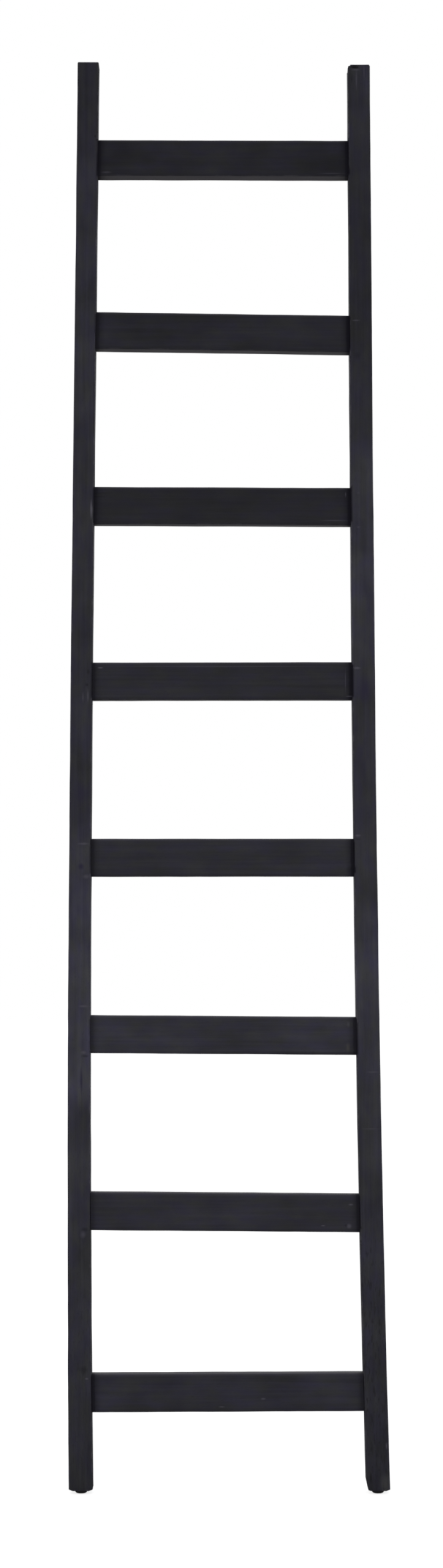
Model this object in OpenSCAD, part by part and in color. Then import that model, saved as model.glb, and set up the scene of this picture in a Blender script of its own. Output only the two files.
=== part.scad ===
// A tall ladder for a bedroom, made to lean on a wall and hold blankets and clothes.
// Two splayed, slightly bowed rails carry flat rungs. Each rung has a tenon in both rails and
// is pulled up by a countersunk screw. A nailed glide keeps each rail off the floor.
// The front faces -Y, the floor is z = 0 and the origin is the middle of the ladder's box there.

/* [Ladder] */
// Height of the left rail's top above the floor
ladder_h = 2000; // [1600:10:2400]
// Width across both rails at the floor
base_w = 441.5; // [380:0.5:520]
// Width across both rails at the top
top_w = 413; // [340:0.5:480]

/* [Rails] */
// Width of a rail as the front shows it, before it was planed by hand
rail_w = 31.5; // [28:0.5:40]
// How much slimmer than that the left rail is at its top
left_slim = 2; // [0:0.5:4]
// How much the left rail widens from its top to its foot
left_swell = 3.5; // [0:0.5:4]
// How much slimmer than rail_w the right rail is at its top
right_slim = 0.5; // [0:0.5:4]
// How much the right rail widens from its top to its foot
right_swell = 1.5; // [0:0.5:4]
// Depth of a rail from front to back
rail_d = 35; // [30:0.5:50]
// Chamfer on the edges and ends of a rail
rail_ease = 1.5; // [0.5:0.25:3]
// Sideways bow of both rails at mid height, to the left
rail_bow = 5.5; // [0:0.5:12]
// How far the bow is fuller below mid height than above it
bow_low = 0.5; // [-1:0.1:1]
// How far the tops of both rails lean to the left
rail_lean = 8.5; // [0:0.5:15]
// How much lower the right rail is sawn off than the left
right_cut = 3.5; // [0:0.5:10]

/* [Rungs] */
// Number of rungs
rung_count = 8; // [5:1:9]
// Height of a rung's face
rung_h = 52.5; // [44:0.5:70]
// Thickness of a rung from front to back
rung_t = 20; // [16:0.5:26]
// Chamfer on the long edges of a rung
rung_ease = 1.25; // [0.5:0.25:3]
// Middle of the lowest rung above the floor
rung_low = 138.5; // [80:0.5:220]
// Middle of the highest rung below the left rail's top
rung_high = 137.5; // [80:0.5:220]

/* [Tenons] */
// Length of a tenon past its shoulder
tenon_l = 15; // [8:0.5:18]
// Height of a tenon
tenon_h = 38; // [28:0.5:42]
// Thickness of a tenon
tenon_t = 10; // [8:0.5:14]
// Gap on each side of a tenon in its mortise
tenon_gap = 0.1; // [0.05:0.05:0.3]
// Room for glue past the end of a tenon
glue_gap = 1; // [0.5:0.25:2]

/* [Screws] */
// Diameter of a screw's plain shank
shank_d = 4; // [3.4:0.1:5]
// Diameter of a screw's core under the thread
core_d = 2.8; // [2.2:0.1:3.2]
// Diameter of a screw's countersunk head
head_d = 8; // [7:0.1:10]
// Length of a screw from head to tip
screw_l = 50; // [40:1:70]
// Depth of a screw's head below the rail's outer face
head_sunk = 0.5; // [0.2:0.1:2]
// Gap around a screw or a nail in its hole
hole_gap = 0.1; // [0.05:0.05:0.3]

/* [Glides] */
// Diameter of a glide where it meets the rail
glide_d = 17; // [14:0.5:24]
// Diameter of a glide's flat underside
glide_flat_d = 10; // [7:0.5:13]
// Height of a glide
glide_h = 5; // [4:0.5:8]
// Diameter of a glide's nail
nail_d = 2.2; // [1.8:0.1:3]
// Diameter of the nail's head, moulded into the glide
nail_head_d = 7; // [5:0.5:9]
// Length of the nail in the rail
nail_l = 20; // [12:1:30]

/* [Hidden] */
// How each rung was fitted by hand, from the lowest up: its height off an even place, its tilt in
// degrees with the right end down, and the lean of its face in degrees with the top backwards
rung_rise = [0, 1.4, -0.3, 0.2, 0.8, 0.7, 0.2, 1.2];
rung_tilt = [-0.25, 0.45, 0.4, 0, -0.1, 0.25, 0.8, 0.15];
rung_lean = [0, 0, 0, 0, 0, 1.5, 3.5, 6.5];
// Straight stretches that a rail's bow is drawn with
rail_steps = 12;
// Straight stretches on the curved rim of a glide
rim_steps = 6;
// Height of a glide's upright rim
rim_h = 1.5;
// Thickness of a nail's head and the plastic left under it
nail_head_h = 1;
nail_cover = 1.5;
// Upright edge of a screw's head, the length of its point, and its cross recess
head_edge = 0.4;
point_l = 6;
recess_l = 4.4;
recess_w = 1;
recess_deep = 1.4;
// What a cut reaches past a face, so that it opens cleanly
past = 1;

left = -1;
right = 1;
wood = "#2c2c31";
rung_wood = "#2f2f33";
plastic = "#131315";
black_steel = "#3a3a3c";
bright_steel = "#8d9094";

// Height of a rail's sawn top
function rail_top(side) = ladder_h - (side == right ? right_cut : 0);

// Heights that a rail is drawn through: its two ends, the ends of their chamfers and the bow between
function rail_heights(side) = let (low = glide_h, high = rail_top(side)) concat([low, low + rail_ease],
    [for (i = [1 : rail_steps - 1]) low + (high - low) * i / rail_steps], [high - rail_ease, high]);

// Width of a rail at height z. The left one widens mostly near its foot.
function width_at(side, z) = let (drop = 1 - z / ladder_h)
    rail_w + (side == left ? left_swell * pow(drop, 3) - left_slim : right_swell * drop - right_slim);

// Middle of a rail at height z: its splay, its lean and its bow added up
function bent_x(side, z) = let (t = z / ladder_h) side * ((1 - t) * base_w + t * top_w - rail_w) / 2
    - rail_lean * t - 4 * rail_bow * t * (1 - t) * (1 + bow_low * (1 - 2 * t));

// How far a rail's outer face reaches, between the chamfers of its ends
function outer_faces(side) = let (heights = rail_heights(side))
    [for (k = [1 : len(heights) - 2]) bent_x(side, heights[k]) + side * width_at(side, heights[k]) / 2];

// Middle of the ladder's box, which becomes x = 0
mid_x = (min(outer_faces(left)) + max(outer_faces(right))) / 2;

function rail_x(side, z) = bent_x(side, z) - mid_x;
function inner_x(side, z) = rail_x(side, z) - side * width_at(side, z) / 2;

// A value of a list that is given for each rung
function of_rung(list, i) = list[(i - 1) % len(list)];

// Rungs are numbered from the floor up
function rung_z(i) = rung_low + (ladder_h - rung_low - rung_high) * (i - 1) / (rung_count - 1)
    + of_rung(rung_rise, i);
function rung_x(i) = (inner_x(left, rung_z(i)) + inner_x(right, rung_z(i))) / 2;

// Half the length of a rung between its shoulders, and its reach to a rail's outer face
function shoulder_x(i) = (inner_x(right, rung_z(i)) - inner_x(left, rung_z(i))) / 2;
function outer_x(side, i) = shoulder_x(i) + width_at(side, rung_z(i));

// The plain part of a screw, as long as a rail's wood outside a mortise
wall_run = rail_w - tenon_l - glue_gap - head_sunk;

module at_rung(i) {
    translate([rung_x(i), 0, rung_z(i)])
        rotate([-of_rung(rung_lean, i), of_rung(rung_tilt, i), 0]) children();
}

// A frame on a rail's outer face at a rung, with +Z pointing out of the rail
module at_screw(side, i) {
    at_rung(i) translate([side * outer_x(side, i), 0, 0]) rotate([0, side * 90, 0]) children();
}

// Outline of a bar with chamfered corners, from its half width, half depth and chamfer
function bar_outline(u, v, ease) = [[u, ease - v], [u, v - ease], [u - ease, v], [ease - u, v],
    [-u, v - ease], [-u, ease - v], [ease - u, -v], [u - ease, -v]];

// The rail as a bowed bar, lofted through one eased outline at each height
module rail_bar(side) {
    heights = rail_heights(side);
    last = len(heights) - 1;
    n = 8;
    rings = [for (k = [0 : last]) let (inset = k == 0 || k == last ? rail_ease : 0)
        for (p = bar_outline(width_at(side, heights[k]) / 2 - inset, rail_d / 2 - inset, rail_ease))
            [rail_x(side, heights[k]) + p[0], p[1], heights[k]]];
    walls = [for (k = [0 : last - 1], j = [0 : n - 1])
        [k * n + j, (k + 1) * n + j, (k + 1) * n + (j + 1) % n, k * n + (j + 1) % n]];
    polyhedron(rings, concat(walls, [[for (j = [0 : n - 1]) j], [for (j = [n - 1 : -1 : 0]) last * n + j]]));
}

// The same bar with sharp edges, which the rungs are coped to
module rail_shape(side) {
    heights = rail_heights(side);
    last = len(heights) - 1;
    inner_edge = [for (z = heights) [inner_x(side, z), z]];
    outer_edge = [for (k = [last : -1 : 0]) let (z = heights[k])
        [rail_x(side, z) + side * width_at(side, z) / 2, z]];
    translate([0, rail_d / 2, 0]) rotate([90, 0, 0]) linear_extrude(rail_d)
        polygon(concat(inner_edge, outer_edge));
}

// The blind hole for a tenon, open towards the middle of the ladder
module mortise(side, i) {
    deep = tenon_l + glue_gap;
    at_rung(i) translate([side * (shoulder_x(i) + (deep - past) / 2), 0, 0])
        cube([deep + past, tenon_t + 2 * tenon_gap, tenon_h + 2 * tenon_gap], center = true);
}

// Half the outline of a screw, head up, grown on all sides by a gap and open above the head
function screw_outline(gap, above) =
    let (head_r = head_d / 2 + gap, shank_r = shank_d / 2 + gap, core_r = core_d / 2 + gap)
    [[0, above], [head_r, above], [head_r, -head_edge], [shank_r, -head_edge - head_r + shank_r],
     [shank_r, -wall_run], [core_r, core_r - shank_r - wall_run],
     [core_r, point_l - screw_l - gap], [0, -screw_l - gap]];

module screw_hole(side, i) {
    at_screw(side, i) translate([0, 0, -head_sunk]) rotate_extrude($fn = 48)
        polygon(screw_outline(hole_gap, head_sunk + past));
}

module screw(side, i) {
    at_screw(side, i) translate([0, 0, -head_sunk]) difference() {
        rotate_extrude($fn = 48) polygon(screw_outline(0, 0));
        for (turn = [0, 90]) rotate([0, 0, turn]) translate([0, 0, (past - recess_deep) / 2])
            cube([recess_l, recess_w, recess_deep + past], center = true);
    }
}

module at_glide(side) {
    translate([rail_x(side, glide_h), 0, 0]) children();
}

// The nail of a glide, standing on its head inside the plastic
module nail(gap, reach) {
    neck = nail_cover + nail_head_h;
    translate([0, 0, nail_cover]) cylinder(d = nail_head_d, h = nail_head_h, $fn = 48);
    translate([0, 0, neck]) cylinder(d = nail_d + 2 * gap, h = reach - neck, $fn = 32);
}

module rail(side) {
    color(wood) difference() {
        rail_bar(side);
        for (i = [1 : rung_count]) mortise(side, i);
        for (i = [1 : rung_count]) screw_hole(side, i);
        at_glide(side) nail(hole_gap, glide_h + nail_l + past);
    }
}

// A rung: a flat bar coped to both rails, with a tenon through its whole length
module rung(i) {
    bar_l = 2 * shoulder_x(i) + rail_w;
    color(rung_wood) difference() {
        union() {
            difference() {
                at_rung(i) rotate([90, 0, 90]) linear_extrude(bar_l, center = true)
                    polygon(bar_outline(rung_t / 2, rung_h / 2, rung_ease));
                rail_shape(left);
                rail_shape(right);
            }
            at_rung(i) cube([2 * (shoulder_x(i) + tenon_l), tenon_t, tenon_h], center = true);
        }
        screw_hole(left, i);
        screw_hole(right, i);
    }
}

module rung_screws(side) {
    color(black_steel) for (i = [1 : rung_count]) screw(side, i);
}

// A domed pad of black plastic, moulded round the head of its nail
module glide(side) {
    flat_r = glide_flat_d / 2;
    dome_h = glide_h - rim_h;
    rim = [for (i = [0 : rim_steps]) let (a = 90 * i / rim_steps)
        [flat_r + (glide_d / 2 - flat_r) * sin(a), dome_h * (1 - cos(a))]];
    color(plastic) at_glide(side) difference() {
        rotate_extrude($fn = 48) polygon(concat([[0, 0]], rim, [[glide_d / 2, glide_h], [0, glide_h]]));
        nail(0, glide_h + past);
    }
}

module glide_nail(side) {
    color(bright_steel) at_glide(side) nail(0, glide_h + nail_l);
}

rail(left);  // left_rail
rail(right);  // right_rail
for (i = [1 : rung_count]) rung(i);
rung_screws(left);  // left_rung_screws
rung_screws(right);  // right_rung_screws
glide(left);  // left_glide
glide(right);  // right_glide
glide_nail(left);  // left_glide_nail
glide_nail(right);  // right_glide_nail
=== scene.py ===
# A tall black-stained ladder for a bedroom, made to lean on a wall and hold blankets and clothes.
# It stands here as it goes together: rails, rungs, screws, glides and their nails. The floor,
# the lights and the camera come last. All places are in metres, in the frame of the solids.

import math
import random
import bmesh
import bpy
from mathutils import Matrix, Vector


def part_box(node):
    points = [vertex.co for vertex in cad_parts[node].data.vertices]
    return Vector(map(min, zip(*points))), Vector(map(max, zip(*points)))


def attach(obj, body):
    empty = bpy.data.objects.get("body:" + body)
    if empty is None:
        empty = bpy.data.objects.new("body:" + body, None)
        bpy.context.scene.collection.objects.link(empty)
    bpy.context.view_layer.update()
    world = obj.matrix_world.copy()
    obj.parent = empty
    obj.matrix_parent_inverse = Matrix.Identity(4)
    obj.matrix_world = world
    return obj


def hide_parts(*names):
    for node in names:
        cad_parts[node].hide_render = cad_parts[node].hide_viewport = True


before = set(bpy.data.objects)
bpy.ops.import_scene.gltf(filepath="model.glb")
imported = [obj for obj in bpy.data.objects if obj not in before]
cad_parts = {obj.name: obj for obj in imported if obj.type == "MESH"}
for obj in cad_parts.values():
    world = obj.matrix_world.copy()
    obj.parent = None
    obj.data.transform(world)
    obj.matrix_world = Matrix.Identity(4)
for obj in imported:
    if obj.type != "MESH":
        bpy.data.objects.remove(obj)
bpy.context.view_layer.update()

# Rails: two bars of solid mango wood, sawn square, then planed and sanded by hand, so that their
# faces wander by a few tenths of a millimetre and their arrises are soft. Both are a little bowed
# and splay towards the floor. Each is mortised for eight rungs and drilled for their screws.

mm = 0.001
left, right = -1, 1
side_name = {left: "left", right: "right"}

ladder_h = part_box("left_rail")[1].z
base_w = 441.5 * mm
top_w = 413 * mm
rail_w = 31.5 * mm
left_slim, left_swell = 2 * mm, 3.5 * mm
right_slim, right_swell = 0.5 * mm, 1.5 * mm
rail_d = 35 * mm
rail_bow = 5.5 * mm
bow_low = 0.5
rail_lean = 8.5 * mm
rail_arris = 1.3 * mm
# Spacing of the mesh's points up a rail, and across any board
rail_step = 6 * mm
column_w = 5 * mm

# What the mortises need to know of the rungs, with tilts and leans in degrees, from the lowest up
rung_h = 52.5 * mm
rung_t = 20 * mm
tenon_l = 15 * mm
tenon_h = 38 * mm
tenon_t = 10 * mm
tenon_gap = 0.1 * mm
glue_gap = 1 * mm
rung_tilt = [-0.25, 0.45, 0.4, 0, -0.1, 0.25, 0.8, 0.15]
rung_lean = [0, 0, 0, 0, 0, 1.5, 3.5, 6.5]
rung_count = len(rung_tilt)

# What the holes need to know of the screws and nails, with depths below the rail's outer face
head_r, shank_r, core_r = 4 * mm, 2 * mm, 1.4 * mm
head_sunk, cone_top, shank_end = 0.5 * mm, 0.9 * mm, 15.5 * mm
nail_l = 20 * mm
nail_d = 2.2 * mm
hole_gap = 0.1 * mm

# A cutter starts this far outside the wood
past = 1 * mm


def width_at(side, z):
    """Width of a rail at height z. The left one was planed slimmer, and widens mostly near its foot."""
    drop = 1 - z / ladder_h
    if side == left:
        return rail_w + (left_swell * drop ** 3 - left_slim)
    return rail_w + (right_swell * drop - right_slim)


def bent_x(side, z):
    """Middle of a rail at height z: its splay, its lean and its bow added up."""
    t = z / ladder_h
    splay = side * ((1 - t) * base_w + t * top_w - rail_w) / 2
    return splay - rail_lean * t - 4 * rail_bow * t * (1 - t) * (1 + bow_low * (1 - 2 * t))


# The solids stand with the middle of their whole box at x = 0. How far that moved them shows in the
# left glide, which is nailed to the middle of its rail's foot.
glide_x = (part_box("left_glide")[0].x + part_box("left_glide")[1].x) / 2
mid_x = bent_x(left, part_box("left_rail")[0].z) - glide_x


def rail_x(side, z):
    return bent_x(side, z) - mid_x


rung_heights = [sum(corner.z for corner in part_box(f"rung_{i}")) / 2 for i in range(1, rung_count + 1)]


def rung_z(i):
    return rung_heights[i - 1]


def inner_x(side, z):
    return rail_x(side, z) - side * width_at(side, z) / 2


def rung_x(i):
    return (inner_x(left, rung_z(i)) + inner_x(right, rung_z(i))) / 2


def shoulder_x(i):
    return (inner_x(right, rung_z(i)) - inner_x(left, rung_z(i))) / 2


def rung_place(i):
    """The rung's own frame: its middle, its tilt with the right end down and its face's lean back."""
    tilt = Matrix.Rotation(math.radians(rung_tilt[i - 1]), 4, "Y")
    lean = Matrix.Rotation(math.radians(-rung_lean[i - 1]), 4, "X")
    return Matrix.Translation((rung_x(i), 0, rung_z(i))) @ tilt @ lean


def screw_place(side, i):
    """A frame on a rail's outer face at a rung, with +Z pointing out of the rail."""
    out = Matrix.Translation((side * (shoulder_x(i) + width_at(side, rung_z(i))), 0, 0))
    return rung_place(i) @ out @ Matrix.Rotation(side * math.pi / 2, 4, "Y")


def deselect():
    bpy.ops.object.select_all(action="DESELECT")


def only(piece):
    """Makes a piece the one that the next operator works on."""
    deselect()
    piece.select_set(True)
    bpy.context.view_layer.objects.active = piece


def pick(kind, test):
    """Selects, in edit mode, just the verts, edges or faces that pass a test."""
    shape = bmesh.from_edit_mesh(bpy.context.edit_object.data)
    for everything in (shape.verts, shape.edges, shape.faces):
        for element in everything:
            element.select_set(False)
    for element in getattr(shape, kind):
        if test(element):
            element.select_set(True)
    shape.select_flush(True)
    bmesh.update_edit_mesh(bpy.context.edit_object.data)


def apply_place(piece, place=Matrix.Identity(4)):
    """Moves a piece to its place and leaves its object at the origin."""
    only(piece)
    piece.matrix_world = place @ piece.matrix_world
    bpy.ops.object.transform_apply(location=True, rotation=True, scale=True)


def saw_bar(name, depth, path):
    """A bar drawn up through places of (x, z, width), by one short extrusion each."""
    x0, z0, w0 = path[0]
    deselect()
    bpy.ops.mesh.primitive_grid_add(
        x_subdivisions=round(w0 / column_w), y_subdivisions=round(depth / column_w), size=1,
        location=(x0, 0, z0))
    piece = bpy.context.object
    piece.name = name
    bpy.ops.object.mode_set(mode="EDIT")
    bpy.ops.transform.resize(value=(w0, depth, 1), center_override=piece.location)
    for x1, z1, w1 in path[1:]:
        bpy.ops.mesh.extrude_region_move(TRANSFORM_OT_translate={"value": (x1 - x0, 0, z1 - z0)})
        if w1 != w0:
            bpy.ops.transform.resize(value=(w1 / w0, 1, 1), center_override=(x1, 0, z1))
        x0, z0, w0 = x1, z1, w1
    bpy.ops.mesh.select_all(action="SELECT")
    bpy.ops.mesh.normals_make_consistent(inside=False)
    bpy.ops.object.mode_set(mode="OBJECT")
    apply_place(piece)
    return piece


def ease(piece, size, segments, test):
    """Rounds the edges that pass a test, as a block plane and sandpaper do."""
    only(piece)
    bpy.ops.object.mode_set(mode="EDIT")
    bpy.ops.mesh.select_mode(type="EDGE")
    pick("edges", test)
    bpy.ops.mesh.bevel(offset=size, segments=segments, profile=0.5, affect="EDGES")
    bpy.ops.mesh.select_mode(type="VERT")
    bpy.ops.object.mode_set(mode="OBJECT")


def roughen(piece, grain, amount):
    """Moves a surface in and out by a slow noise, as hand tools leave it."""
    noise = bpy.data.textures.new(f"{piece.name}_unevenness", "CLOUDS")
    noise.noise_scale = grain
    noise.noise_depth = 1
    only(piece)
    wander = piece.modifiers.new("unevenness", "DISPLACE")
    wander.texture = noise
    wander.texture_coords = "LOCAL"
    wander.strength = amount
    wander.mid_level = 0.5
    bpy.ops.object.modifier_apply(modifier=wander.name)


def carve(piece, cutters, operation="DIFFERENCE"):
    """Cuts a group of bodies out of a piece, or adds them to it, and removes them."""
    deselect()
    for cutter in cutters:
        cutter.select_set(True)
    bpy.context.view_layer.objects.active = cutters[0]
    if len(cutters) > 1:
        bpy.ops.object.join()
    group = bpy.context.view_layer.objects.active
    only(piece)
    cut = piece.modifiers.new("cut", "BOOLEAN")
    cut.operation = operation
    cut.solver = "EXACT"
    cut.object = group
    bpy.ops.object.modifier_apply(modifier=cut.name)
    bpy.data.objects.remove(group)


def block(size, place):
    """A rectangular cutter or tenon at its place."""
    deselect()
    bpy.ops.mesh.primitive_cube_add(size=1)
    piece = bpy.context.object
    piece.scale = size
    bpy.ops.object.transform_apply(location=True, rotation=True, scale=True)
    apply_place(piece, place)
    return piece


def turned(name, outline, sides, place=Matrix.Identity(4)):
    """A turned body: a disc that is extruded through (radius, height) steps, from end to end."""
    (r0, z0), *steps = outline
    deselect()
    bpy.ops.mesh.primitive_circle_add(vertices=sides, radius=r0, fill_type="NGON", location=(0, 0, z0))
    piece = bpy.context.object
    piece.name = name
    bpy.ops.object.mode_set(mode="EDIT")
    for r1, z1 in steps:
        bpy.ops.mesh.extrude_region_move(TRANSFORM_OT_translate={"value": (0, 0, z1 - z0)})
        bpy.ops.transform.resize(value=(r1 / r0, r1 / r0, 1), center_override=(0, 0, z1))
        r0, z0 = r1, z1
    bpy.ops.mesh.select_all(action="SELECT")
    bpy.ops.mesh.normals_make_consistent(inside=False)
    bpy.ops.object.mode_set(mode="OBJECT")
    apply_place(piece, place)
    return piece


def splinter(middle, size, turn=0.0):
    """A rough body, with its middle and sizes in millimetres, that breaks a chip out of a board."""
    deselect()
    bpy.ops.mesh.primitive_ico_sphere_add(subdivisions=4, radius=0.5)
    body = bpy.context.object
    body.name = "splinter"
    body.scale = Vector(size) * mm
    body.rotation_euler = (0, turn, 0)
    body.location = Vector(middle) * mm
    bpy.ops.object.transform_apply(location=True, rotation=True, scale=True)
    # Torn fibres, coarse and fine, in proportion to the chip's thinnest side
    thin = min(size) * mm
    roughen(body, grain=thin / 2, amount=thin / 3)
    roughen(body, grain=thin / 5, amount=thin / 12)
    return body


def cut_off(piece, point, out):
    """Saws or rasps a board flat through a point, and takes away what lies on the outer side."""
    # A coarser threshold leaves open edges where the cut runs close by a corner
    threshold = 0.001 * mm
    only(piece)
    bpy.ops.object.mode_set(mode="EDIT")
    bpy.ops.mesh.select_all(action="SELECT")
    bpy.ops.mesh.bisect(
        plane_co=point, plane_no=out, use_fill=True, clear_outer=True, threshold=threshold)
    bpy.ops.mesh.select_all(action="SELECT")
    bpy.ops.mesh.normals_make_consistent(inside=False)
    bpy.ops.object.mode_set(mode="OBJECT")


def rasp_foot(piece, side, foot, toward, across, up):
    """Takes a slanting flat off one side of a rail's foot, so far in from its face and so far up."""
    edge = Vector((rail_x(side, foot) + toward * width_at(side, foot) / 2, 0, foot + up))
    cut_off(piece, edge, Vector((toward * up, 0, -across)))


def near(a, b):
    """Whether two lengths are within two hundredths of a millimetre."""
    return abs(a - b) < 0.02 * mm


def set_attribute(piece, name, measure, unit=mm):
    """Writes a measure of each point, in millimetres unless told otherwise, for the material."""
    layer = piece.data.attributes.new(name, "FLOAT", "POINT")
    layer.data.foreach_set("value", [measure(v.co) / unit for v in piece.data.vertices])


def smooth(piece):
    """Shades a piece smooth, apart from its edges that are sharper than 32 degrees."""
    only(piece)
    bpy.ops.object.shade_smooth_by_angle(angle=math.radians(32))


def rail_from_arris(side, foot, top):
    """Distance of a point on a rail from its nearest arris."""
    def measure(p):
        across = width_at(side, p.z) / 2 - abs(p.x - rail_x(side, p.z))
        deep = rail_d / 2 - abs(p.y)
        along = min(p.z - foot, top - p.z)
        return max(0.0, sorted((across, deep, along))[1])
    return measure


def rail_from_corner(side):
    """How near a point on a rail counts as to the corner with a rung, where a painted shadow darkens it.
    """
    in_corner, clear_of_it = 3 * mm, 20 * mm

    def measure(p):
        at_inner_face = abs(p.x - inner_x(side, p.z)) < rail_arris
        beside_a_rung = any(abs(p.z - rung_z(i)) < rung_h / 2 for i in range(1, rung_count + 1))
        return in_corner if at_inner_face and beside_a_rung else clear_of_it
    return measure


# Strength of the painted shadow in each rung's corners beside the rails, from the lowest up
corner_shadow_share = {left: [0.85, 0.25, 0.35, 0.65, 0.7, 0.75, 0.7, 0.85],
                right: [0.45, 0.8, 0.85, 1.0, 1.0, 1.0, 1.0, 1.0]}


def rail_corner_shadow_share(side):
    """How strong the painted shadow is in the corner with the rung that is nearest to a point."""
    def measure(p):
        nearest = min(range(1, rung_count + 1), key=lambda i: abs(p.z - rung_z(i)))
        return corner_shadow_share[side][nearest - 1]
    return measure


def screw_hole_outline():
    """The drilled and countersunk hole, from above the face down, as (radius, height)."""
    head, shank, core = head_r + hole_gap, shank_r + hole_gap, core_r + hole_gap
    cone_end = cone_top + head - shank
    core_top = shank_end + shank - core
    return [(head, past), (head, -cone_top), (shank, -cone_end), (shank, -shank_end), (core, -core_top)]


# Flats rasped off both sides of each foot, and a long one off the right foot's inner side, as
# (how far in, how far up)
side_flat = (6 * mm, 2.2 * mm)
long_flat = (2.6 * mm, 12 * mm)
# Heights of small chips on the front inner arris, mostly where a chisel slipped beside a mortise
nicks = {left: (1899, 1888, 1829, 1637, 1139, 1103, 897, 846, 672, 607, 431, 362, 168, 103),
         right: (1898, 1635, 1579, 1390, 1338, 1144, 908, 668, 600, 422, 346, 172)}
# What has broken out of the right rail's top, as (middle, size, turn) in millimetres and radians
breaks = [
    # The whole inner corner, in two steps
    ((166.8, 0, 1997), (5.6, 60, 19), 0.0),
    ((168.6, 0, 1997.6), (9, 60, 8), 0.0),
    # A gouge under the front arris, and a shallow flake over it
    ((178, -17.8, 1993.2), (11, 4.6, 4.4), 0.08),
    ((172, -18.2, 1996.5), (10, 3.4, 4.5), 0.1),
    # The tip of the outer corner
    ((200.6, 0, 1997.6), (6.5, 60, 8), 0.0)]
# Draws the chips' sizes, the same ones on each run
chance = random.Random(7)


def make_rail(side):
    """A rail: its bar is drawn up and eased, its foot rasped, its faces planed and its holes cut."""
    name = side_name[side] + "_rail"
    foot, top = (corner.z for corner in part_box(name))
    steps = round((top - foot) / rail_step)
    heights = [foot + (top - foot) * k / steps for k in range(steps + 1)]
    piece = saw_bar(name + "_board", rail_d, [(rail_x(side, z), z, width_at(side, z)) for z in heights])

    def is_arris(edge):
        """Whether an edge lies where two of the rail's faces meet."""
        ends = [v.co for v in edge.verts]
        at_side = all(near(abs(p.x - rail_x(side, p.z)), width_at(side, p.z) / 2) for p in ends)
        at_face = all(near(abs(p.y), rail_d / 2) for p in ends)
        at_end = all(near(p.z, foot) for p in ends) or all(near(p.z, top) for p in ends)
        return at_side + at_face + at_end == 2

    ease(piece, rail_arris, segments=3, test=is_arris)
    for toward in (left, right):
        rasp_foot(piece, side, foot, toward, *side_flat)
    if side == right:
        rasp_foot(piece, side, foot, left, *long_flat)
    # Long waves that the plane left, and short ones that the sanding left
    roughen(piece, grain=90 * mm, amount=0.7 * mm)
    roughen(piece, grain=22 * mm, amount=0.25 * mm)

    deep = tenon_l + glue_gap
    mortise = (deep + past, tenon_t + 2 * tenon_gap, tenon_h + 2 * tenon_gap)
    cutters = []
    for i in range(1, rung_count + 1):
        inward = Matrix.Translation((side * (shoulder_x(i) + (deep - past) / 2), 0, 0))
        cutters.append(block(mortise, rung_place(i) @ inward))
        cutters.append(turned("drilling", screw_hole_outline(), sides=32, place=screw_place(side, i)))
    nail_hole = [(nail_d / 2 + hole_gap, foot - past), (nail_d / 2 + hole_gap, foot + nail_l)]
    at_foot = Matrix.Translation((rail_x(side, foot), 0, 0))
    cutters.append(turned("nail_hole", nail_hole, sides=24, place=at_foot))
    for z in nicks[side]:
        # A chip's width, depth and height in millimetres
        size = (chance.uniform(1.8, 3.2), chance.uniform(1.6, 3.0), chance.uniform(3, 7))
        cutters.append(splinter((inner_x(side, z * mm) / mm, -rail_d / 2 / mm, z), size))
    carve(piece, cutters)
    if side == right:
        for middle, size, turn in breaks:
            carve(piece, [splinter(middle, size, turn)])
    set_attribute(piece, "arris_mm", rail_from_arris(side, foot, top))
    # Where and how strongly a painted shadow darkens the rail's inner face beside each rung
    set_attribute(piece, "shoulder_mm", rail_from_corner(side))
    set_attribute(piece, "painted_shadow_share", rail_corner_shadow_share(side), unit=1)
    smooth(piece)
    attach(piece, "root")
    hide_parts(name)
    return piece


def linear(code):
    """Linear colour of an sRGB hex code."""
    parts = [int(code[k:k + 2], 16) / 255 for k in (1, 3, 5)]
    return [c / 12.92 if c <= 0.04045 else ((c + 0.055) / 1.055) ** 2.4 for c in parts] + [1.0]


def add_node(material, kind, inputs=None, **settings):
    """Adds a node with its settings, constants and links. An input goes by its name, or by its number
    where names are alike."""
    node = material.node_tree.nodes.new(kind)
    for name, value in settings.items():
        setattr(node, name, value)
    for key, value in (inputs or {}).items():
        by_name = [socket for socket in node.inputs if socket.enabled and socket.name == key]
        socket = by_name[0] if by_name else node.inputs[key]
        if isinstance(value, bpy.types.Node):
            value = [output for output in value.outputs if output.enabled][0]
        if isinstance(value, bpy.types.NodeSocket):
            material.node_tree.links.new(value, socket)
        else:
            socket.default_value = value
    return node


def new_material(name):
    material = bpy.data.materials.new(name)
    material.use_nodes = True
    material.node_tree.nodes.clear()
    return material
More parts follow.
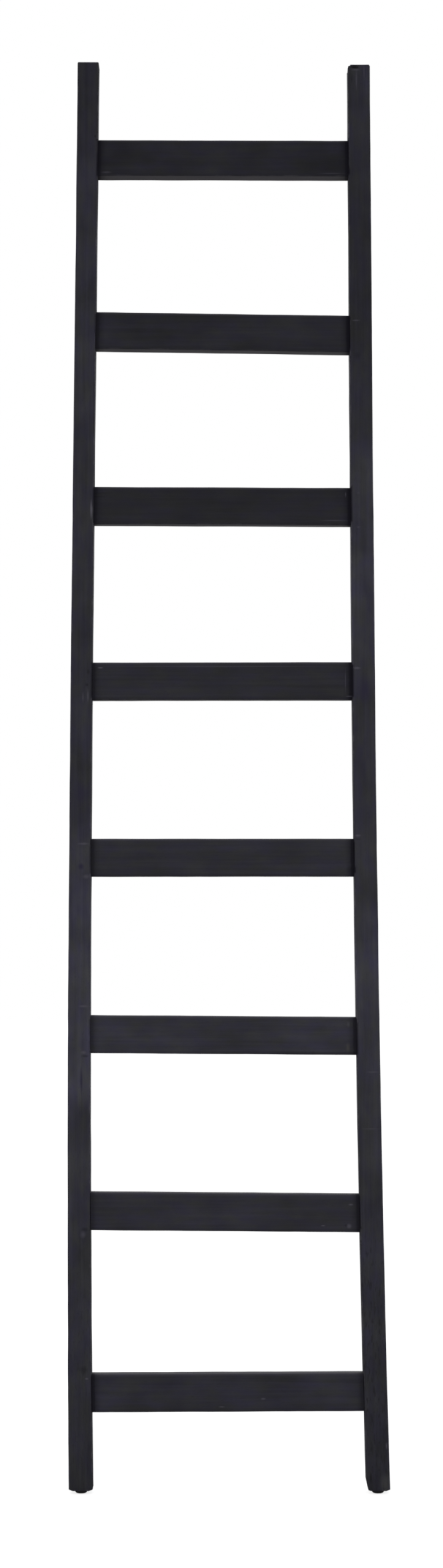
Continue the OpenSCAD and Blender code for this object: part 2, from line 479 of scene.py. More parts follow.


# Mango wood, planed and sanded by hand, then stained black and rubbed with wax. The eye sees a soft,
# cloudy black that turns from neutral to violet where the stain's two dyes have parted, with faint
# streaks along the board, few open pores, and arrises where hands have rubbed the stain thin, with a
# painted highlight along the upward ones. The sheen is a dull satin. The stain was brushed on by
# hand, and its shade is given at some heights: its uneven tone with a painted sheen over it, brightest
# near the camera's height. Painted shadow darkens the corners beside the rails, and on the rungs a
# painted highlight, painted shade and painted bounce light lie along the front's edges and underside.
def stained_wood(name, along, dyes, tones_and_sheen, sheen, wear, torn_grain, marks):
    wood = new_material(name)
    place = add_node(wood, "ShaderNodeTexCoord").outputs["Object"]
    height = add_node(wood, "ShaderNodeSeparateXYZ", {"Vector": place}).outputs["Z"]
    normal = add_node(wood, "ShaderNodeNewGeometry").outputs["Normal"]
    facing = add_node(wood, "ShaderNodeSeparateXYZ", {"Vector": normal}).outputs
    # The pattern is drawn in a frame whose Z runs along the board
    turn = (0, 0, 0) if along == "Z" else (0, -math.pi / 2, 0)
    board = add_node(wood, "ShaderNodeMapping", {"Vector": place, "Rotation": turn})

    def pattern(kind, across, length, **inputs):
        """A noise or a cell pattern, stretched along the board, with its grain given in metres."""
        scale = (1 / across, 1 / across, 1 / length)
        stretched = add_node(wood, "ShaderNodeMapping", {"Vector": board, "Scale": scale})
        return add_node(wood, kind, {"Vector": stretched, "Scale": 1.0, **inputs})

    # Fibres 1.2 mm wide and 60 mm long, drawn wider than real ones so that they show
    fibres = pattern("ShaderNodeTexNoise", 1.2 * mm, 60 * mm, Detail=3.0, Roughness=0.6)
    # Bands of darker and lighter growth, 6 mm apart
    bands = pattern("ShaderNodeTexNoise", 6 * mm, 200 * mm, Detail=2.0, Distortion=0.4)
    # Clouds where the wood took up more or less stain, 40 mm across
    clouds = pattern("ShaderNodeTexNoise", 40 * mm, 60 * mm, Detail=2.0)
    # Patches where one of the stain's dyes shows more, 12 mm across
    parting = pattern("ShaderNodeTexNoise", 12 * mm, 30 * mm, Detail=2.0, Distortion=0.2)
    # Open pores, slits 0.5 mm wide and 3 mm long, mostly filled with wax, and wider than real ones
    slits = pattern("ShaderNodeTexVoronoi", 1.6 * mm, 9 * mm)
    pores = add_node(wood, "ShaderNodeMapRange", {
        "Value": slits, "From Min": 0.1, "From Max": 0.24, "To Min": 0.3, "To Max": 0.0})

    # The stain's colour, from one dye to the other, and how deep it went into the growth
    neutral_dye, violet_dye = dyes
    parted = add_node(wood, "ShaderNodeMapRange", {"Value": parting, "From Min": 0.34, "From Max": 0.66})
    stain = add_node(wood, "ShaderNodeMix", {
        "Factor": parted, "A": linear(neutral_dye), "B": linear(violet_dye)}, data_type="RGBA")
    stain = add_node(wood, "ShaderNodeMix", {
        "Factor": pores, "A": stain, "B": linear("#121115")}, data_type="RGBA")
    growth = add_node(wood, "ShaderNodeMath", {0: fibres, 1: 0.2, 2: clouds}, operation="MULTIPLY_ADD")
    growth = add_node(wood, "ShaderNodeMath", {0: bands, 1: 0.5, 2: growth}, operation="MULTIPLY_ADD")
    depth = add_node(wood, "ShaderNodeMapRange", {
        "Value": growth, "From Min": 0.57, "From Max": 1.13, "To Min": 1.2, "To Max": 2.8})

    # The shade at each height: the stain's uneven tone, with a painted sheen over it that is brightest
    # near the camera's height. A ramp's colour ends at 1, so it holds half the shade, and the depth above
    # holds twice as much.
    up_the_ladder = add_node(wood, "ShaderNodeMapRange", {"Value": height, "From Max": ladder_h})
    tone_and_sheen_by_height = add_node(wood, "ShaderNodeValToRGB", {"Fac": up_the_ladder})
    ramp = tone_and_sheen_by_height.color_ramp
    for k, (z, level) in enumerate(tones_and_sheen):
        stop = ramp.elements[k] if k < 2 else ramp.elements.new(z / ladder_h)
        stop.position = z / ladder_h
        stop.color = (level / 2, level / 2, level / 2, 1.0)
    shade = add_node(wood, "ShaderNodeMath", {0: depth, 1: tone_and_sheen_by_height}, operation="MULTIPLY")
    stain = add_node(wood, "ShaderNodeVectorMath", {0: stain, "Scale": shade}, operation="SCALE")
    relief = add_node(wood, "ShaderNodeMath", {0: fibres, 1: pores}, operation="SUBTRACT")

    # What lies over the stain, from below up, each as where it shows and its colour: real marks, and
    # painted highlights and shade.
    # Short dark tears, 2.5 mm wide and 14 mm long, where the plane ran against the grain near the floor
    tears = pattern("ShaderNodeTexNoise", 2.5 * mm, 14 * mm, Detail=2.0, Distortion=0.6)
    torn = add_node(wood, "ShaderNodeMapRange", {
        "Value": tears, "From Min": 0.56, "From Max": 0.66, "To Max": torn_grain})
    low_down = add_node(wood, "ShaderNodeMapRange", {
        "Value": height, "From Min": 0.25, "From Max": 0.45, "To Min": 1.0, "To Max": 0.0})
    torn = add_node(wood, "ShaderNodeMath", {0: torn, 1: low_down}, operation="MULTIPLY")
    coats = [(torn, "#141317")]

    # Arrises rubbed thin, fading out over 2 mm, in stretches on most; along all upward-facing arrises a
    # painted highlight, as if lit from above, lies over the wear
    arris = add_node(wood, "ShaderNodeAttribute", attribute_name="arris_mm").outputs["Fac"]
    edge = add_node(wood, "ShaderNodeMapRange", {
        "Value": arris, "From Min": 0.6, "From Max": 2.0, "To Min": 1.0, "To Max": 0.0})
    patches = pattern("ShaderNodeTexNoise", 9 * mm, 30 * mm, Detail=4.0, Roughness=0.65)
    stretches = add_node(wood, "ShaderNodeMapRange", {
        "Value": patches, "From Min": 0.5, "From Max": 0.72, "To Max": wear})
    top_arris_highlight = add_node(wood, "ShaderNodeMapRange", {
        "Value": facing["Z"], "From Min": 0.1, "From Max": 0.5, "To Max": 0.5})
    wear_and_highlight = add_node(wood, "ShaderNodeMath", {0: stretches, 1: top_arris_highlight}, operation="MAXIMUM")
    rubbed_and_highlit = add_node(wood, "ShaderNodeMath", {0: edge, 1: wear_and_highlight}, operation="MULTIPLY")
    coats.append((rubbed_and_highlit, "#55535a"))

    if along == "X":
        # On a rung's front, the top 4 mm is paler, a painted highlight along the upper edge, and the
        # lowest
        # 5 mm darker, a painted shade where the edge turns down. The underside is paler, a painted bounce
        # light from the floor.
        rise = add_node(wood, "ShaderNodeAttribute", attribute_name="rise_mm").outputs["Fac"]
        top_edge_highlight = add_node(wood, "ShaderNodeMapRange", {
            "Value": rise, "From Min": 48.5, "From Max": 52.5, "To Max": 0.2})
        lower_edge_shade = add_node(wood, "ShaderNodeMapRange", {
            "Value": rise, "From Min": 0.5, "From Max": 5.0, "To Min": 0.45, "To Max": 0.0})
        underside_bounce_light = add_node(wood, "ShaderNodeMapRange", {
            "Value": facing["Z"], "From Min": -0.95, "From Max": -0.8, "To Min": 0.7, "To Max": 0.0})
        coats += [(top_edge_highlight, "#55535a"), (lower_edge_shade, "#0c0b10"), (underside_bounce_light, "#3f3d41")]
    else:
        # A rail's sawn ends show growth rings about 3 mm apart, round a pith that lies outside the
        # bar, and the saw's marks, 1.6 mm apart. A wave texture of scale 1 has this period in metres.
        wave_period = math.pi / 10
        across = add_node(wood, "ShaderNodeMath", {0: facing["Z"]}, operation="ABSOLUTE")
        end_grain = add_node(wood, "ShaderNodeMapRange", {
            "Value": across, "From Min": 0.9, "From Max": 0.97})
        from_pith = add_node(wood, "ShaderNodeMapping", {"Vector": place, "Location": (0.25, 0.06, 0)})
        rings = add_node(wood, "ShaderNodeTexWave", {
            "Vector": from_pith, "Scale": wave_period / (3 * mm), "Distortion": 3.0, "Detail Scale": 0.2},
            wave_type="RINGS", rings_direction="Z").outputs["Fac"]
        late_wood = add_node(wood, "ShaderNodeMapRange", {"Value": rings, "To Min": 0.2, "To Max": 0.75})
        late_wood = add_node(wood, "ShaderNodeMath", {0: end_grain, 1: late_wood}, operation="MULTIPLY")
        coats.append((late_wood, "#0f0e12"))
        kerfs = add_node(wood, "ShaderNodeTexWave", {
            "Vector": place, "Scale": wave_period / (1.6 * mm), "Distortion": 1.0}).outputs["Fac"]
        kerfs = add_node(wood, "ShaderNodeMath", {0: kerfs, 1: end_grain}, operation="MULTIPLY")
        relief = add_node(wood, "ShaderNodeMath", {0: relief, 1: kerfs}, operation="ADD")

    # Painted shadow in the corner of rung and rail, where the rail stands 7.5 mm proud of the rung: nearly
    # black for about 5 mm with a ragged edge, faded out at 13 mm, weaker at some corners, and with its
    # specular level lowered
    corner = add_node(wood, "ShaderNodeAttribute", attribute_name="shoulder_mm").outputs["Fac"]
    ragged = add_node(wood, "ShaderNodeMath", {0: patches, 1: 3.0, 2: corner}, operation="MULTIPLY_ADD")
    black = add_node(wood, "ShaderNodeMapRange", {
        "Value": ragged, "From Min": 4.9, "From Max": 8.3, "To Min": 0.9, "To Max": 0.0})
    faded = add_node(wood, "ShaderNodeMapRange", {
        "Value": corner, "From Min": 5.0, "From Max": 13.0, "To Min": 0.4, "To Max": 0.0})
    painted_corner_shadow = add_node(wood, "ShaderNodeMath", {0: black, 1: faded}, operation="MAXIMUM")
    corner_shadow_strength = add_node(wood, "ShaderNodeAttribute", attribute_name="painted_shadow_share").outputs["Fac"]
    painted_corner_shadow = add_node(wood, "ShaderNodeMath", {0: painted_corner_shadow, 1: corner_shadow_strength}, operation="MULTIPLY")
    coats.append((painted_corner_shadow, "#121118"))

    # Scratches, scuffs and spills, each a soft spot on the front with its middle, its half width and
    # half height in millimetres, its colour and its strength
    front = add_node(wood, "ShaderNodeMapRange", {
        "Value": facing["Y"], "From Min": -0.6, "From Max": -0.3, "To Min": 1.0, "To Max": 0.0})
    for x, z, half_w, half_h, colour, strength in marks:
        spot = add_node(wood, "ShaderNodeMapping", {
            "Vector": place, "Location": (x * mm, 0, z * mm), "Scale": (half_w * mm, 1e3, half_h * mm)},
            vector_type="TEXTURE")
        reach = add_node(wood, "ShaderNodeVectorMath", {0: spot}, operation="LENGTH")
        frayed = add_node(wood, "ShaderNodeMath", {0: fibres, 1: 0.8, 2: reach}, operation="MULTIPLY_ADD")
        soft = add_node(wood, "ShaderNodeMapRange", {
            "Value": frayed, "From Min": 0.7, "From Max": 1.6, "To Min": strength, "To Max": 0.0})
        shown = add_node(wood, "ShaderNodeMath", {0: soft, 1: front}, operation="MULTIPLY")
        coats.append((shown, colour))
    for where, colour in coats:
        stain = add_node(wood, "ShaderNodeMix", {
            "Factor": where, "A": stain, "B": linear(colour)}, data_type="RGBA")

    grain_bump = add_node(wood, "ShaderNodeBump", {
        "Height": relief, "Strength": 0.35, "Distance": 0.08 * mm})
    wave_bump = add_node(wood, "ShaderNodeBump", {
        "Height": bands, "Strength": 0.5, "Distance": 0.3 * mm, "Normal": grain_bump})
    satin = add_node(wood, "ShaderNodeMapRange", {
        "Value": clouds, "From Min": 0.3, "From Max": 0.7, "To Min": sheen, "To Max": sheen + 0.12})
    shine = add_node(wood, "ShaderNodeMapRange", {"Value": painted_corner_shadow, "To Min": 0.1, "To Max": 0.03})
    surface = add_node(wood, "ShaderNodeBsdfPrincipled", {
        "Base Color": stain, "Roughness": satin, "Specular IOR Level": shine, "Normal": wave_bump})
    add_node(wood, "ShaderNodeOutputMaterial", {"Surface": surface})
    return wood


# Shade of the stain at heights in metres, where 1 is the stain as it was mixed: its uneven tone, with
# a painted sheen over it that makes the rails brightest around 0.55 to 0.85 m, near the camera's height
rail_tones_and_sheen = {
    left: [
        (0.05, 0.72), (0.16, 0.88), (0.29, 1.05), (0.53, 1.08), (0.56, 1.6), (0.65, 1.42),
        (0.75, 1.35), (0.8, 1.42), (0.86, 1.15), (0.96, 0.82), (1.3, 0.91), (1.57, 1.04), (1.8, 0.91),
        (1.97, 0.73)],
    right: [
        (0.05, 0.88), (0.16, 0.88), (0.29, 0.81), (0.45, 1.05), (0.6, 1.08), (0.71, 1.39), (0.8, 0.96),
        (0.96, 0.83), (1.1, 0.84), (1.3, 1.36), (1.45, 0.92), (1.57, 0.68), (1.8, 0.65), (1.97, 0.92)]}
# Scratches and rubs are pale, splits and knocks dark, and runs of one dye violet. Each mark is
# (x, z, half width, half height, colour, strength), with its lengths in millimetres.
pale, dark, violet = "#3e3c44", "#0c0b10", "#1d1a2b"
rail_marks = {
    left: [
        (-192, 1365, 1.4, 13, "#4c4a53", 0.8), (-202, 896.6, 8, 1.8, pale, 0.8),
        (-205, 865, 4.5, 4.5, violet, 0.8), (-198, 851, 5, 3, pale, 0.6),
        (-201, 671, 7, 1.8, pale, 0.8), (-201, 607, 4, 2.5, pale, 0.8), (-199, 602, 5, 2, dark, 0.5),
        (-198.5, 363, 5, 3, dark, 0.5), (-201, 356, 4, 5, pale, 0.5),
        (-187.7, 1894, 1.6, 2.2, dark, 0.7), (-185.5, 1889, 1.3, 1.6, dark, 0.7),
        (-200, 170, 5, 6, dark, 0.5), (-195.5, 158.5, 2.2, 1.5, pale, 1.0),
        (-195.5, 1137, 2.2, 4, dark, 0.5), (-197.5, 1118.6, 2.5, 2.5, dark, 0.6),
        (-196, 1103, 1.2, 9, pale, 0.7), (-203, 1101, 1.2, 8, pale, 0.5),
        (-205.5, 967, 9, 18, violet, 0.7), (-204, 569, 2, 20, violet, 0.8)],
    right: [
        (179.6, 1988.8, 6, 1, pale, 0.7), (180.4, 1974.4, 1.5, 14, pale, 0.5),
        (191.2, 1985.8, 0.8, 11, pale, 0.6), (174, 1976.7, 0.9, 7, dark, 0.6),
        # The first dark spot on the next line, in the gouge under the top, is painted shade over stain
        # settled in the hollow
        (177.7, 1993, 6, 2.6, dark, 0.9), (179, 1632, 6, 1.2, pale, 0.5), (181, 1582, 5, 6, dark, 0.4),
        (182, 1388, 2, 2, pale, 0.3), (182, 1340, 3, 2, pale, 0.3), (179.3, 1142, 5, 2, pale, 0.9),
        (190.7, 1113, 9, 20, violet, 0.8), (180, 908, 4.5, 2, pale, 0.8),
        (180, 903, 4.5, 1, dark, 0.6), (200, 580, 9, 0.9, pale, 0.7), (197, 501.6, 12, 0.8, pale, 0.5),
        (217.5, 67, 1.2, 5, pale, 0.8), (196, 23, 1.4, 8, dark, 0.9),
        (215, 17, 6.5, 13, "#3b3b39", 0.4)]}
# The right rail's foot was planed against its grain more than the left one's
torn_foot = {left: 0.25, right: 0.7}
for side in (left, right):
    finish = stained_wood(
        f"black_stained_mango_{side_name[side]}_rail", along="Z", dyes=("#28282b", "#25242f"),
        tones_and_sheen=rail_tones_and_sheen[side], sheen=0.6, wear=0.6, torn_grain=torn_foot[side], marks=rail_marks[side])
    make_rail(side).data.materials.append(finish)

# Rungs: eight flat boards of the same wood, set on edge, each a little out of level as it was
# fitted by hand. Both shoulders are coped to the rails, a tenon at each end goes into the rail,
# and the long arrises are planed off a little.

rung_arris = 1.1 * mm
shoulder_gap = 0.05 * mm
# Spacing of the mesh's points along a rung
rung_step = 7 * mm
# The screw's hole in a rung ends this far below the rail's outer face
pilot_end = 51 * mm


def rail_face(side, z):
    """A point on a rail's inner face and that face's normal, pointing into the rail."""
    reach = rung_h / 2
    rise = Vector((inner_x(side, z + reach) - inner_x(side, z - reach), 0, 2 * reach)).normalized()
    return Vector((inner_x(side, z), 0, z)), Vector((side * rise.z, 0, -side * rise.x))


def make_rung(i):
    """A rung: drawn along, turned to lie across, coped at both shoulders, tenoned and drilled."""
    name = f"rung_{i}"
    place = rung_place(i)
    half = shoulder_x(i) + rail_w / 2
    steps = round(2 * half / rung_step)
    path = [(0, half * (2 * k / steps - 1), rung_h) for k in range(steps + 1)]
    piece = saw_bar(name + "_board", rung_t, path)

    def is_arris(edge):
        """Whether an edge is one of the four long ones."""
        return all(
            near(abs(v.co.x), rung_h / 2) and near(abs(v.co.y), rung_t / 2) for v in edge.verts)

    ease(piece, rung_arris, segments=3, test=is_arris)
    apply_place(piece, place @ Matrix.Rotation(math.pi / 2, 4, "Y"))
    for side in (left, right):
        point, out = rail_face(side, rung_z(i))
        cut_off(piece, point - out * shoulder_gap, out)
    roughen(piece, grain=90 * mm, amount=0.6 * mm)
    roughen(piece, grain=20 * mm, amount=0.25 * mm)
    # Both tenons are the ends of one block
    tenons = block((2 * (shoulder_x(i) + tenon_l), tenon_t, tenon_h), place)
    carve(piece, [tenons], "UNION")
    pilot = screw_hole_outline() + [(core_r + hole_gap, -pilot_end)]
    carve(piece, [turned("pilot", pilot, sides=32, place=screw_place(side, i)) for side in (left, right)])

    inverse = place.inverted()
    faces = [rail_face(side, rung_z(i)) for side in (left, right)]

    def from_arris(p):
        q = inverse @ p
        return max(0.0, rung_h / 2 - abs(q.z), rung_t / 2 - abs(q.y))

    def from_shoulder(p):
        return min((point - p).dot(out) for point, out in faces)

    def rise(p):
        return rung_h / 2 + (inverse @ p).z

    # How strongly a painted shadow darkens each end of the rung
    def painted_shadow_share(p):
        return corner_shadow_share[left if (inverse @ p).x < 0 else right][i - 1]

    set_attribute(piece, "arris_mm", from_arris)
    set_attribute(piece, "rise_mm", rise)
    set_attribute(piece, "shoulder_mm", from_shoulder)
    set_attribute(piece, "painted_shadow_share", painted_shadow_share, unit=1)
    smooth(piece)
    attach(piece, "root")
    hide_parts(name)
    return piece


# Shades of the rungs, their uneven tone with a painted sheen that is brightest at 0.63 m, near the
# camera's height, and darkest at the top, and their marks, given as for the rails
rung_tones_and_sheen = [
    (0.14, 1.01), (0.39, 0.95), (0.63, 1.17), (0.88, 0.9), (1.12, 0.8), (1.37, 0.57), (1.62, 0.68),
    (1.86, 0.62)]
rung_marks = [
    (146, 1842.2, 18, 0.8, pale, 0.4), (-172, 1844, 7, 1.6, pale, 0.4),
    (-176, 1389, 12, 0.9, dark, 0.6), (-180, 1384, 8, 0.9, dark, 0.6),
    (148, 1350.3, 19, 0.9, pale, 0.45), (164.3, 1387, 1.0, 4, pale, 0.6),
    # The long pale line at z 1145 on the next line, along the top edge of the fifth rung, is a painted
    # highlight
    (-179, 1143, 4, 1.2, pale, 1.0), (-21, 1145, 165, 0.9, pale, 0.35),
    (163.5, 1125, 0.8, 17, pale, 0.5), (169, 1103, 5, 1, pale, 0.7), (169, 860.6, 5, 6, dark, 0.35),
    (166.5, 645.7, 2.2, 4, pale, 0.4), (166, 613.8, 3, 6.5, "#3f3d39", 0.35),
    (169.4, 396.6, 3.6, 1.2, pale, 0.9), (167, 367, 3.4, 3.6, pale, 0.7),
    (162.6, 368, 1.4, 2.4, dark, 0.6), (131, 367.7, 3, 0.9, pale, 0.8), (48, 130, 3.4, 1.6, pale, 0.7),
    (-9.3, 119, 4.4, 0.9, pale, 0.7)]
rung_wood = stained_wood(
    "black_stained_mango_rung", along="X", dyes=("#232326", "#21202b"), tones_and_sheen=rung_tones_and_sheen,
    sheen=0.5, wear=0.35, torn_grain=0.0, marks=rung_marks)
for i in range(1, rung_count + 1):
    make_rung(i).data.materials.append(rung_wood)

# Rung screws: sixteen countersunk wood screws of mild steel, blackened in a hot bath, one through
# each rail into the end of each rung. The wire is headed, its cross recess punched and its thread
# rolled, and the heads are driven half a millimetre below the rail's outer face.

# Depths are below the rail's outer face, as above
screw_tip = 50.5 * mm
point_l = 6 * mm
tip_r = 0.15 * mm
# The soft rim of the head, and the fillet between its cone and the shank
rim_across, rim_down = 0.15 * mm, 0.12 * mm
neck_across, neck_down = 0.25 * mm, 0.1 * mm
thread_top = 16.9 * mm
thread_pitch = 1.8 * mm
thread_turns = 18
thread_steps = 24
ridge_r = 0.5 * mm
# The least share of its full size that the thread has where it starts and where it ends
thin_start, thin_end = 0.05, 0.1
recess_l, recess_w, recess_deep = 4.4 * mm, 1 * mm, 2 * mm
recess_taper = (0.45, 0.7, 1)


# Black oxide on mild steel: a thin matt film with a blue cast, uneven over about 0.8 mm
def blackened_steel():
    steel = new_material("black_oxide_steel")
    place = add_node(steel, "ShaderNodeTexCoord").outputs["Object"]
    film = add_node(steel, "ShaderNodeTexNoise", {"Vector": place, "Scale": 1 / (0.8 * mm), "Detail": 4.0})
    colour = add_node(steel, "ShaderNodeMix", {
        "Factor": film, "A": linear("#3a3b40"), "B": linear("#17181b")}, data_type="RGBA")
    rough = add_node(steel, "ShaderNodeMapRange", {"Value": film, "To Min": 0.32, "To Max": 0.55})
    bump = add_node(steel, "ShaderNodeBump", {"Height": film, "Strength": 0.4, "Distance": 0.02 * mm})
    surface = add_node(steel, "ShaderNodeBsdfPrincipled", {
        "Base Color": colour, "Metallic": 0.8, "Roughness": rough, "Normal": bump})
    add_node(steel, "ShaderNodeOutputMaterial", {"Surface": surface})
    return steel


def roll_thread():
    """The ridge of the thread: a three-cornered section drawn down a helix, thinned at both ends."""
    deselect()
    bpy.ops.mesh.primitive_circle_add(vertices=3, radius=ridge_r, fill_type="NOTHING")
    ridge = bpy.context.object
    corner_out = Matrix.Rotation(math.pi / 2, 4, "X") @ Matrix.Rotation(-math.pi / 2, 4, "Z")
    apply_place(ridge, Matrix.Translation((shank_r - ridge_r, 0, -thread_top)) @ corner_out)
    helix = ridge.modifiers.new("helix", "SCREW")
    helix.axis = "Z"
    helix.angle = 2 * math.pi
    helix.screw_offset = -thread_pitch
    helix.iterations = thread_turns
    helix.steps = thread_steps
    bpy.ops.object.modifier_apply(modifier=helix.name)
    for vertex in ridge.data.vertices:
        run_in = (-thread_top - vertex.co.z) / thread_pitch
        run_out = (vertex.co.z + screw_tip) / point_l
        radius = Vector((vertex.co.x, vertex.co.y)).length
        crest = core_r + (radius - core_r) * min(1.0, max(run_in, thin_start))
        reach = min(1.0, max(run_out, thin_end)) * crest / radius
        vertex.co.x *= reach
        vertex.co.y *= reach
    bpy.ops.object.mode_set(mode="EDIT")
    bpy.ops.mesh.select_all(action="SELECT")
    bpy.ops.mesh.fill_holes(sides=3)
    bpy.ops.mesh.normals_make_consistent(inside=False)
    bpy.ops.object.mode_set(mode="OBJECT")
    return ridge


def recess_wing(turn):
    """One wing of the punch that leaves the cross recess, tapered towards its end."""
    wing = block((recess_l, recess_w, 2 * recess_deep), Matrix.Identity(4))
    only(wing)
    bpy.ops.object.mode_set(mode="EDIT")
    pick("verts", lambda v: v.co.z < 0)
    bpy.ops.transform.resize(value=recess_taper, center_override=(0, 0, 0))
    bpy.ops.object.mode_set(mode="OBJECT")
    apply_place(wing, Matrix.Translation((0, 0, -head_sunk)) @ Matrix.Rotation(turn, 4, "Z"))
    return wing


def make_screw():
    """A screw with its head up, at the origin: turned blank, rolled thread and punched recess."""
    cone_end = cone_top + head_r - shank_r
    core_top = shank_end + shank_r - core_r
    outline = [
        (head_r - rim_across, -head_sunk), (head_r, -head_sunk - rim_down), (head_r, -cone_top),
        (shank_r + neck_across, -cone_end + neck_across), (shank_r, -cone_end - neck_down),
        (shank_r, -shank_end), (core_r, -core_top), (core_r, -screw_tip + point_l), (tip_r, -screw_tip)]
    screw = turned("screw", outline, sides=48)
    carve(screw, [roll_thread()], "UNION")
    for turn in (0, math.pi / 2):
        carve(screw, [recess_wing(turn)])
    return screw


def copied(piece, place):
    """A copy of a piece with a mesh of its own, moved to its place."""
    copy = piece.copy()
    copy.data = piece.data.copy()
    bpy.context.scene.collection.objects.link(copy)
    apply_place(copy, place)
    return copy


screw_steel = blackened_steel()
pattern_screw = make_screw()
for side in (left, right):
    screws = [copied(pattern_screw, screw_place(side, i)) for i in range(1, rung_count + 1)]
    deselect()
    for screw in screws:
        screw.select_set(True)
    bpy.context.view_layer.objects.active = screws[0]
    bpy.ops.object.join()
    screws[0].name = side_name[side] + "_rung_screws_turned"
    screws[0].data.materials.append(screw_steel)
    smooth(screws[0])
    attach(screws[0], "root")
    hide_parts(side_name[side] + "_rung_screws")
bpy.data.objects.remove(pattern_screw)

# Glides and their nails: under each rail, a domed pad of black polyethylene that keeps the end
# grain off the floor, moulded round the head of a nail. The nail is bright drawn steel wire, headed
# and pointed in a press, and driven into the end of the rail.

glide_r, glide_flat_r, glide_h = 8.5 * mm, 5 * mm, 5 * mm
# The soft top rim, and the knee half way round it
rim_ease = 0.3 * mm
knee_in, knee_down = 0.08 * mm, 0.1 * mm
# The parting line stands this far out, and is this high above and below its middle
seam_out, seam_half = 0.08 * mm, 0.06 * mm
dome_h = 3.5 * mm
dome_steps = 14
gate_r, gate_floor_r, gate_deep = 1.6 * mm, 1.35 * mm, 0.3 * mm
# A small disc in the middle closes the dimple's flat floor
gate_middle_r = 0.4 * mm

# The nail's head lies nail_cover above the glide's underside
nail_cover = 1.5 * mm
nail_head_r, nail_head_h = 3.5 * mm, 1 * mm
nail_head_ease = 0.15 * mm
fillet_across, fillet_up = 0.2 * mm, 0.3 * mm
nail_point_l = 2.8 * mm
nail_tip_r, half_point_r = 0.15 * mm, 0.7 * mm


# Injection-moulded polyethylene: a waxy black, greyed by scuffs underneath, with a fine matt skin
# that is drawn 0.5 mm coarse, so that it shows
def moulded_plastic():
    plastic = new_material("moulded_black_polyethylene")
    place = add_node(plastic, "ShaderNodeTexCoord").outputs["Object"]
    skin = add_node(plastic, "ShaderNodeTexNoise", {
        "Vector": place, "Scale": 1 / (0.5 * mm), "Detail": 3.0})
    # Scuffs run one way, 0.6 mm wide and 5 mm long, as the ladder is dragged
    dragged = add_node(plastic, "ShaderNodeMapping", {
        "Vector": place, "Rotation": (0, 0, 0.5), "Scale": (1 / (5 * mm), 1 / (0.6 * mm), 1 / (0.6 * mm))})
    scuffs = add_node(plastic, "ShaderNodeTexNoise", {"Vector": dragged, "Scale": 1.0, "Detail": 3.0})
    scuffed = add_node(plastic, "ShaderNodeMapRange", {"Value": scuffs, "From Min": 0.5, "From Max": 0.7})
    normal = add_node(plastic, "ShaderNodeNewGeometry").outputs["Normal"]
    facing = add_node(plastic, "ShaderNodeSeparateXYZ", {"Vector": normal}).outputs["Z"]
    below = add_node(plastic, "ShaderNodeMapRange", {
        "Value": facing, "From Min": -0.95, "From Max": -0.5, "To Min": 1.0, "To Max": 0.1})
    scuffed = add_node(plastic, "ShaderNodeMath", {0: scuffed, 1: below}, operation="MULTIPLY")
    colour = add_node(plastic, "ShaderNodeMix", {
        "Factor": scuffed, "A": linear("#08080a"), "B": linear("#39393b")}, data_type="RGBA")
    rough = add_node(plastic, "ShaderNodeMapRange", {"Value": scuffed, "To Min": 0.42, "To Max": 0.75})
    bump = add_node(plastic, "ShaderNodeBump", {"Height": skin, "Strength": 0.3, "Distance": 0.03 * mm})
    surface = add_node(plastic, "ShaderNodeBsdfPrincipled", {
        "Base Color": colour, "Roughness": rough, "IOR": 1.51, "Specular IOR Level": 0.25, "Normal": bump})
    add_node(plastic, "ShaderNodeOutputMaterial", {"Surface": surface})
    return plastic


# Drawn steel wire: bright, with fine lines along it from the die, made 0.15 mm wide to show
def drawn_steel():
    wire = new_material("bright_drawn_steel")
    place = add_node(wire, "ShaderNodeTexCoord").outputs["Object"]
    along_wire = add_node(wire, "ShaderNodeMapping", {
        "Vector": place, "Scale": (1 / (0.15 * mm), 1 / (0.15 * mm), 1 / (8 * mm))})
    lines = add_node(wire, "ShaderNodeTexNoise", {"Vector": along_wire, "Scale": 1.0, "Detail": 2.0})
    colour = add_node(wire, "ShaderNodeMix", {
        "Factor": lines, "A": linear("#a9abae"), "B": linear("#c9cbce")}, data_type="RGBA")
    rough = add_node(wire, "ShaderNodeMapRange", {"Value": lines, "To Min": 0.25, "To Max": 0.4})
    bump = add_node(wire, "ShaderNodeBump", {"Height": lines, "Strength": 0.3, "Distance": 0.02 * mm})
    surface = add_node(wire, "ShaderNodeBsdfPrincipled", {
        "Base Color": colour, "Metallic": 1.0, "Roughness": rough, "Normal": bump})
    add_node(wire, "ShaderNodeOutputMaterial", {"Surface": surface})
    return wire


def make_nail():
    """A nail from its tip down: a full point, a wire shank, a fillet and a head with a soft rim."""
    tip = glide_h + nail_l
    neck = nail_cover + nail_head_h
    head_in = nail_head_r - nail_head_ease
    outline = [
        (nail_tip_r, tip), (half_point_r, tip - nail_point_l / 2), (nail_d / 2, tip - nail_point_l),
        (nail_d / 2, neck + fillet_up), (nail_d / 2 + fillet_across, neck), (head_in, neck),
        (nail_head_r, neck - nail_head_ease), (nail_head_r, nail_cover + nail_head_ease),
        (head_in, nail_cover)]
    return turned("nail", outline, sides=48)


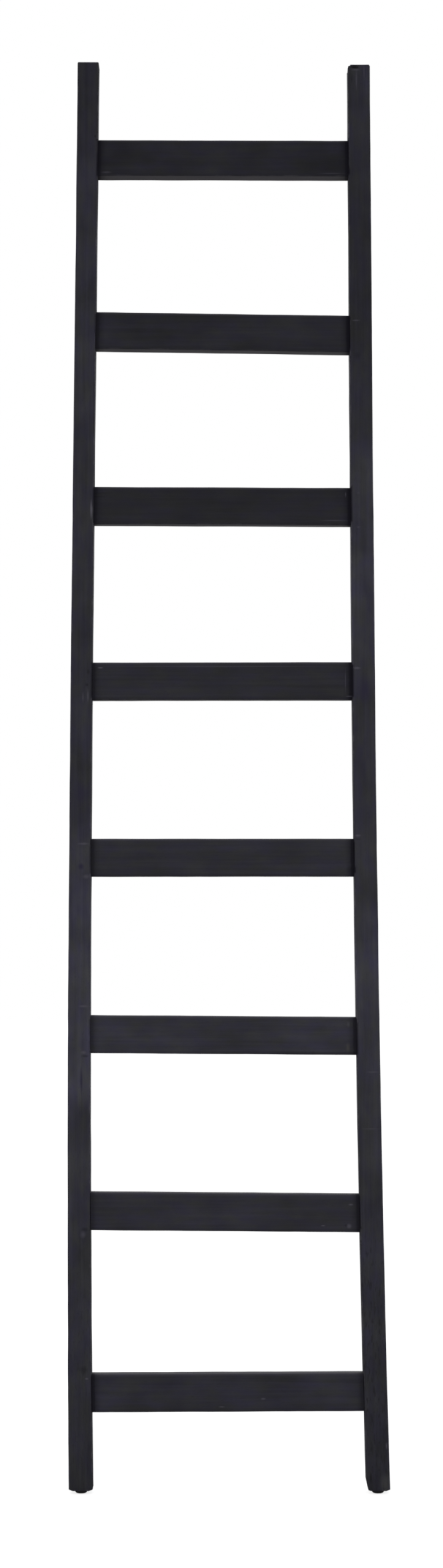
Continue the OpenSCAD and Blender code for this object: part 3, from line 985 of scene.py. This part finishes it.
def make_glide(nail):
    """A pad turned as its mould was: soft top rim, parting line, dome and a dimple at the gate."""
    outline = [
        (glide_r - rim_ease, glide_h), (glide_r - knee_in, glide_h - knee_down),
        (glide_r, glide_h - rim_ease), (glide_r, dome_h + seam_half), (glide_r + seam_out, dome_h),
        (glide_r, dome_h - seam_half)]
    for k in range(1, dome_steps + 1):
        a = math.pi / 2 * k / dome_steps
        outline.append((glide_flat_r + (glide_r - glide_flat_r) * math.cos(a), dome_h * (1 - math.sin(a))))
    outline += [(gate_r, 0), (gate_floor_r, gate_deep), (gate_middle_r, gate_deep)]
    glide = turned("glide", outline, sides=64)
    carve(glide, [copied(nail, Matrix.Identity(4))])
    return glide


pattern_nail = make_nail()
pattern_glide = make_glide(pattern_nail)
foot_pieces = [
    (pattern_glide, "_glide", "_moulded", moulded_plastic(), "black_plastic"),
    (pattern_nail, "_glide_nail", "_headed", drawn_steel(), "nail_steel")]
for side in (left, right):
    under_rail = Matrix.Translation((rail_x(side, glide_h), 0, 0))
    for pattern, node, making, finish, slot in foot_pieces:
        piece = copied(pattern, under_rail)
        piece.name = side_name[side] + node + making
        piece.data.materials.append(finish)
        smooth(piece)
        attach(piece, "root")
        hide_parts(side_name[side] + node)
for pattern in (pattern_glide, pattern_nail):
    bpy.data.objects.remove(pattern)

# Floor and white studio: a pale matt floor under soft light. The camera sees it and the room as
# white, with the ladder's own faint shadow.

deselect()
bpy.ops.mesh.primitive_plane_add(size=60, location=(0, 0, 0))
floor = bpy.context.object
floor.name = "floor"
paint = new_material("white_floor_paint")
matt = add_node(paint, "ShaderNodeBsdfDiffuse", {"Color": linear("#e6e6e6")})
glow = add_node(paint, "ShaderNodeEmission", {"Color": linear("#ffffff"), "Strength": 0.7})
seen = add_node(paint, "ShaderNodeLightPath").outputs["Is Camera Ray"]
both = add_node(paint, "ShaderNodeAddShader", {0: matt, 1: glow})
lift = add_node(paint, "ShaderNodeMixShader", {0: seen, 1: matt, 2: both})
add_node(paint, "ShaderNodeOutputMaterial", {"Surface": lift})
floor.data.materials.append(paint)

room = bpy.data.worlds.new("white_studio")
bpy.context.scene.world = room
room.use_nodes = True
room.node_tree.nodes.clear()
ray = add_node(room, "ShaderNodeLightPath")
direct = add_node(room, "ShaderNodeMath", {
    0: ray.outputs["Is Camera Ray"], 1: ray.outputs["Is Glossy Ray"]}, operation="MAXIMUM")
clear = add_node(room, "ShaderNodeMath", {
    0: direct, 1: ray.outputs["Is Transmission Ray"]}, operation="MAXIMUM")
level = add_node(room, "ShaderNodeMapRange", {"Value": clear, "To Min": 0.55, "To Max": 1.0})
sky = add_node(room, "ShaderNodeBackground", {"Color": linear("#ffffff"), "Strength": level})
add_node(room, "ShaderNodeOutputWorld", {"Surface": sky})


def softbox(name, place, aim, width, height, power):
    """A soft lamp that faces a point of the ladder."""
    lamp = bpy.data.lights.new(name, "AREA")
    lamp.shape = "RECTANGLE"
    lamp.size = width
    lamp.size_y = height
    lamp.energy = power
    stand = bpy.data.objects.new(name, lamp)
    stand.location = place
    stand.rotation_euler = (Vector(aim) - Vector(place)).to_track_quat("-Z", "Y").to_euler()
    bpy.context.scene.collection.objects.link(stand)


softbox("front_softbox", place=(0, -5.2, 0.9), aim=(0, 0, 0.85), width=2.4, height=1.6, power=60)
for side in (left, right):
    softbox(
        side_name[side] + "_softbox", place=(side * 2.6, -2.4, 1.3), aim=(0, 0, 1.0),
        width=1.0, height=2.2, power=25)

# Camera: it stands 4.35 m in front of the ladder, between the heights of the third and fourth
# rungs, and looks slightly up.

lens_mm = 71.5
camera_place = (-9.7 * mm, -4.35, 0.746)
upward = math.radians(3.09)

view = bpy.data.cameras.new("camera")
view.lens = lens_mm
camera = bpy.data.objects.new("camera", view)
camera.location = camera_place
camera.rotation_euler = (math.pi / 2 + upward, 0, 0)
bpy.context.scene.collection.objects.link(camera)
bpy.context.scene.camera = camera
bpy.context.scene.view_settings.view_transform = "Standard"
